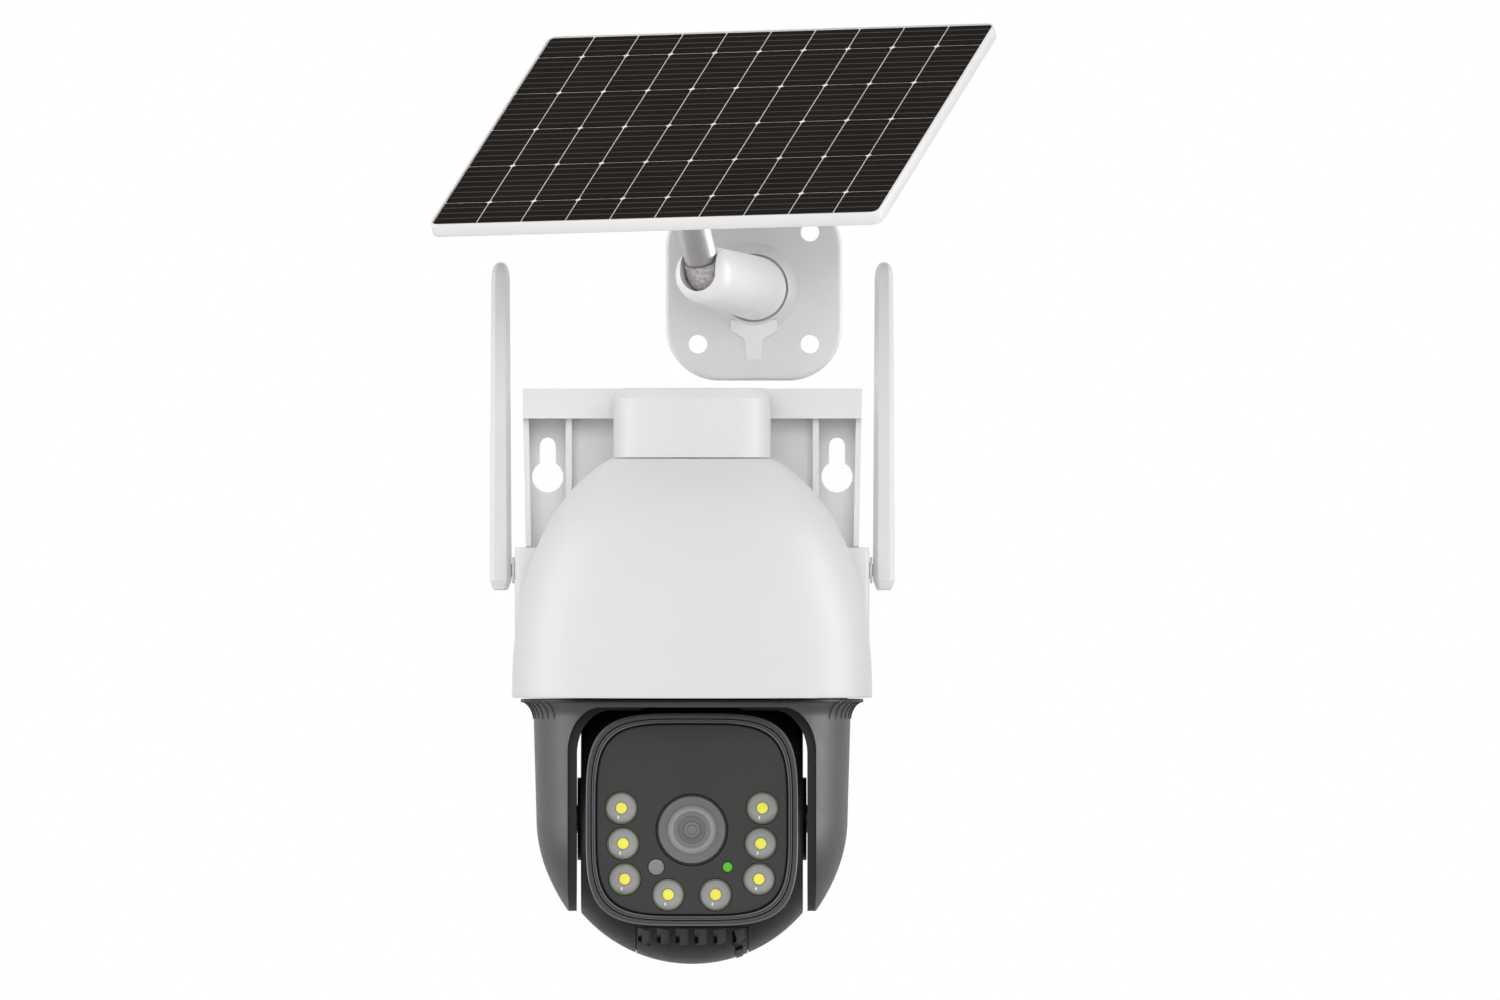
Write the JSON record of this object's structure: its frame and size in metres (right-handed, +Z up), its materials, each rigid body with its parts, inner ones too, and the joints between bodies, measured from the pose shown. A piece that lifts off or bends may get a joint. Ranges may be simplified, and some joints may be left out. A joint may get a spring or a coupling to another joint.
{
  "type": "solar-powered security camera",
  "caption": "Wall-hung dome camera with a panning yoke, a tilting ball-shaped head, hinged antennas and a small solar panel on its own jointed wall bracket.",
  "frame": {"origin": "centre of the camera bracket's back face, level with the round part of its keyholes, on the wall plane", "axes": "+Z up the wall, -Y out of the wall towards the viewer, +X to the viewer's right"},
  "size_m": [0.2011, 0.1784, 0.3347],
  "materials": {
    "white_plastic": "smooth satin white moulding",
    "black_plastic": "satin black moulding",
    "face_acrylic": "polished dark acrylic",
    "seal_rubber": "soft black rubber",
    "lamp_lens": "clear moulded lens over a bright reflector",
    "lens_housing": "satin grey",
    "lens_barrel": "satin anodised grey",
    "lens_glass": "coated glass",
    "sensor_window": "smoked clear",
    "status_green": "green light pipe",
    "circuit_board": "green solder mask",
    "steel": "plated",
    "motor_can": "plated can",
    "acetal": "natural acetal",
    "cell_sleeve": "shrink sleeve",
    "bracket_plastic": "fine-textured light grey moulding",
    "cast_alloy": "as-cast",
    "grey_rod": "grey painted tube",
    "panel_frame": "clear anodised",
    "solar_glass": "glass over dark cells",
    "back_sheet": "satin light grey",
    "nylon": "moulded black"
  },
  "bodies": {
    "wall_units": {"wall_bracket": "white_plastic", "top_cap": "white_plastic", "hanger_bolt": "steel", "hanger_nut": "steel", "dome_shell": "white_plastic", "rear_housing": "white_plastic", "chassis_plate": "black_plastic", "pan_bearing": "acetal", "pan_motor": "motor_can", "battery_holder": "black_plastic", "battery_cell_1": "cell_sleeve", "battery_cell_2": "cell_sleeve", "main_board": "circuit_board", "charge_inlet": "nylon", "antenna_socket_left": "white_plastic", "antenna_socket_right": "white_plastic", "solar_base": "bracket_plastic"},
    "pinion": {"pan_pinion": "acetal"},
    "pan_head": {"yoke": "black_plastic", "pan_gear": "acetal", "tilt_drive_shaft": "steel", "tilt_pivot_pin": "steel"},
    "camera_ball": {"ball_front_shell": "black_plastic", "ball_rear_shell": "black_plastic", "face_plate": "face_acrylic", "face_gasket": "seal_rubber", "lens_holder": "lens_housing", "lens_barrel": "lens_barrel", "lens_glass": "lens_glass", "sensor_board": "circuit_board", "led_board": "circuit_board", "led_lens_1": "lamp_lens", "led_lens_2": "lamp_lens", "led_lens_3": "lamp_lens", "led_lens_4": "lamp_lens", "led_lens_5": "lamp_lens", "led_lens_6": "lamp_lens", "led_lens_7": "lamp_lens", "led_lens_8": "lamp_lens", "light_sensor": "sensor_window", "status_led": "status_green", "tilt_motor": "motor_can", "card_board": "circuit_board"},
    "bay_cover": {"card_cover": "black_plastic"},
    "reset": {"reset_button": "white_plastic"},
    "left_antenna": {"antenna_left": "white_plastic"},
    "right_antenna": {"antenna_right": "white_plastic"},
    "solar_elbow": {"elbow": "bracket_plastic", "swivel_screw": "steel", "elbow_pin": "steel"},
    "solar_rod": {"rod_knuckle": "cast_alloy", "support_rod": "grey_rod"},
    "solar_panel": {"panel_foot": "back_sheet", "panel_back": "back_sheet", "panel_frame": "panel_frame", "solar_laminate": "solar_glass", "junction_box": "back_sheet", "cable_gland": "nylon"}
  },
  "joints": [
    {"name": "head_pan", "type": "hinge", "parent": "wall_units", "child": "pan_head", "pos_m": [0, -0.078, -0.0785], "axis": [0, 0, 1], "range_deg": [-175, 175]},
    {"name": "pinion_spin", "type": "hinge", "parent": "wall_units", "child": "pinion", "pos_m": [0, -0.126, -0.07], "axis": [0, 0, 1], "range_deg": [-702, 702]},
    {"name": "head_tilt", "type": "hinge", "parent": "pan_head", "child": "camera_ball", "pos_m": [0, -0.078, -0.1216], "axis": [-1, 0, 0], "range_deg": [-90, 0]},
    {"name": "cover_pull", "type": "slide", "parent": "camera_ball", "child": "bay_cover", "axis": [0, -0.284, -0.9588], "range_m": [0, 0.012]},
    {"name": "reset_press", "type": "slide", "parent": "camera_ball", "child": "reset", "axis": [0, 0, 1], "range_m": [0, 0.0006], "stiffness_N_per_m": 200},
    {"name": "antenna_left_swing", "type": "hinge", "parent": "wall_units", "child": "left_antenna", "pos_m": [-0.06837, -0.03, -0.0334], "axis": [1, 0, 0], "range_deg": [0, 180]},
    {"name": "antenna_right_swing", "type": "hinge", "parent": "wall_units", "child": "right_antenna", "pos_m": [0.06837, -0.03, -0.0334], "axis": [1, 0, 0], "range_deg": [0, 180]},
    {"name": "solar_swivel", "type": "hinge", "parent": "wall_units", "child": "solar_elbow", "pos_m": [0.022, 0, 0.0674], "axis": [0, 1, 0], "range_deg": [-40, 60]},
    {"name": "solar_tilt", "type": "hinge", "parent": "solar_elbow", "child": "solar_rod", "pos_m": [0.0045, -0.068, 0.0719], "axis": [0.9488, -0.3097, 0.0627], "range_deg": [0, 55]},
    {"name": "solar_spin", "type": "hinge", "parent": "solar_rod", "child": "solar_panel", "pos_m": [0.0045, -0.068, 0.0719], "axis": [-0.2073, -0.4602, 0.8633], "range_deg": [-10, 40]}
  ],
  "couplings": [
    {"joint": "pinion_spin", "follows": "head_pan", "ratio": -4}
  ]
}
